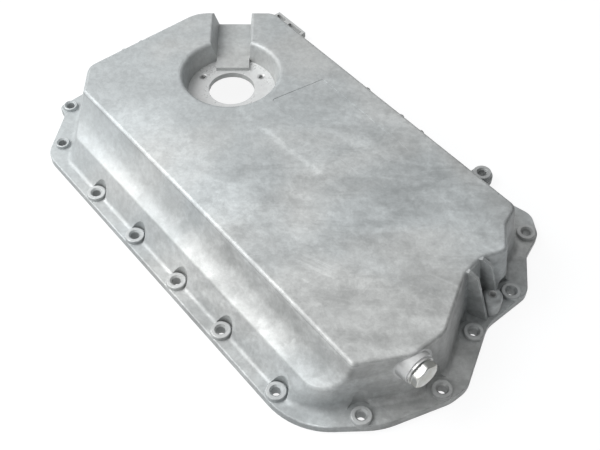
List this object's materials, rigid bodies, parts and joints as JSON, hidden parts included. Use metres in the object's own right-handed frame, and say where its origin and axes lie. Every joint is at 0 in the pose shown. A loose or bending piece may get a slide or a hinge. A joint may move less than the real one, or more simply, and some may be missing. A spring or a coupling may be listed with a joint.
{
  "type": "engine oil pan",
  "caption": "Shallow die-cast aluminium engine oil pan with a stepped side, round sensor recess with cable channel, bolt flange and hexagon drain plug.",
  "frame": {"origin": "centre of the bounding box in plan, on the gasket face, which is the surface that the pan rests on", "axes": "+X along the pan towards the drain plug, +Y from the long straight bolt row to the side with the ear, +Z out of the gasket face towards the pan's bottom"},
  "size_m": [0.438, 0.2834, 0.056],
  "materials": {
    "cast_aluminium": "as die cast, mottled and lightly scuffed",
    "plated_steel": "bright zinc plated",
    "washer_aluminium": "turned"
  },
  "bodies": {
    "pan": {"pan_casting": "cast_aluminium"},
    "washer": {"drain_plug_washer": "washer_aluminium"},
    "plug": {"drain_plug": "plated_steel"}
  },
  "joints": [
    {"name": "plug_travel", "type": "slide", "parent": "pan", "child": "washer", "axis": [1, 0, 0], "range_m": [0, 0.02]},
    {"name": "plug_turn", "type": "hinge", "parent": "washer", "child": "plug", "pos_m": [0.2009, -0.05755, 0.041], "axis": [1, 0, 0], "range_deg": [0, 4800]}
  ],
  "couplings": [
    {"joint": "plug_turn", "follows": "plug_travel", "rad_per_m": 4188.8}
  ]
}
